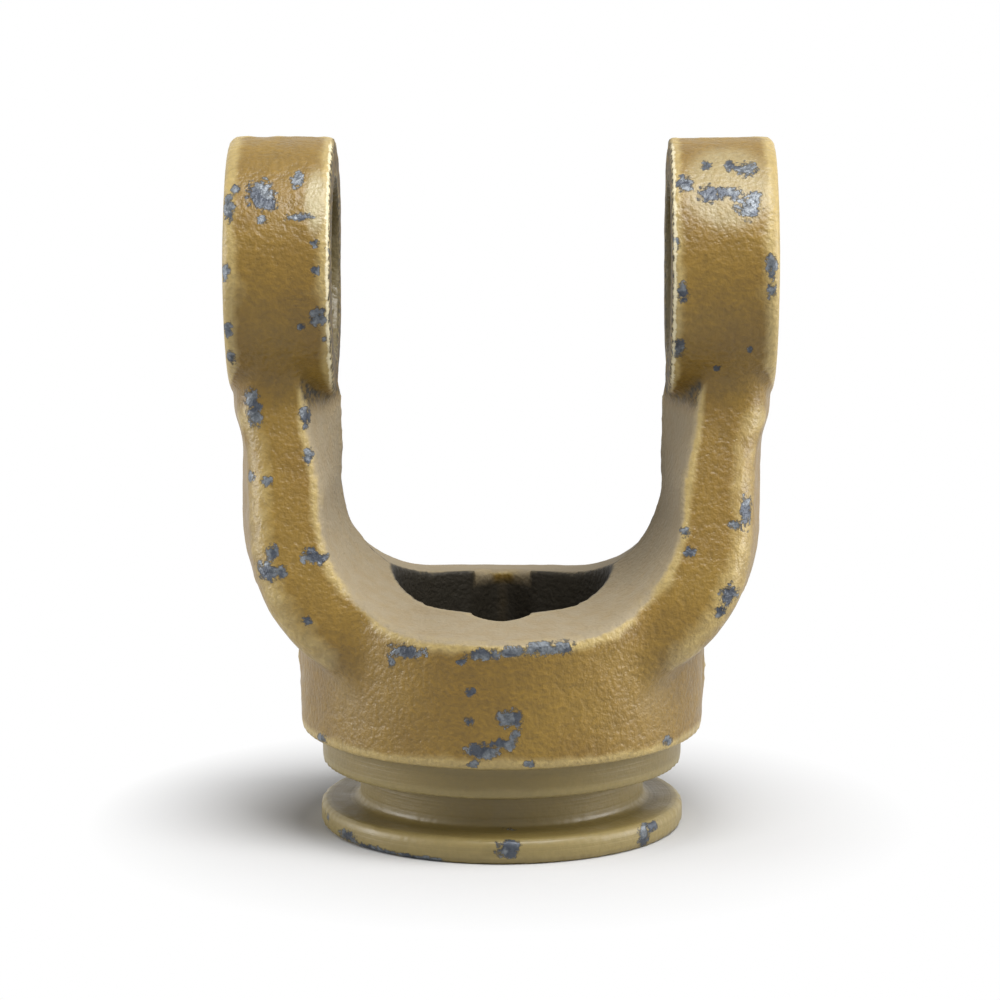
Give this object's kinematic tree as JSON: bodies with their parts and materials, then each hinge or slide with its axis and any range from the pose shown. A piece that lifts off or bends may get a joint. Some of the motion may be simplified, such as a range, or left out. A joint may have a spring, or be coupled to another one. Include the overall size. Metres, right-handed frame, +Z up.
{
  "type": "forged yoke",
  "caption": "Forged steel yoke for a farm drive shaft: two bored ears on curved arms over a round hub with a ribbed tube bore, a guard groove and a flange.",
  "frame": {"origin": "centre of the hub's lower face, on the shaft axis", "axes": "+Z up the shaft axis from the flange to the ears, +X along the axis of the two bearing bores"},
  "size_m": [0.0846, 0.0636, 0.1088],
  "materials": {
    "painted_forging": "ochre paint over scaled forged steel, chipped on the ears and arms and dusty on the saddle"
  },
  "bodies": {
    "root": {"yoke": "painted_forging"}
  },
  "joints": []
}
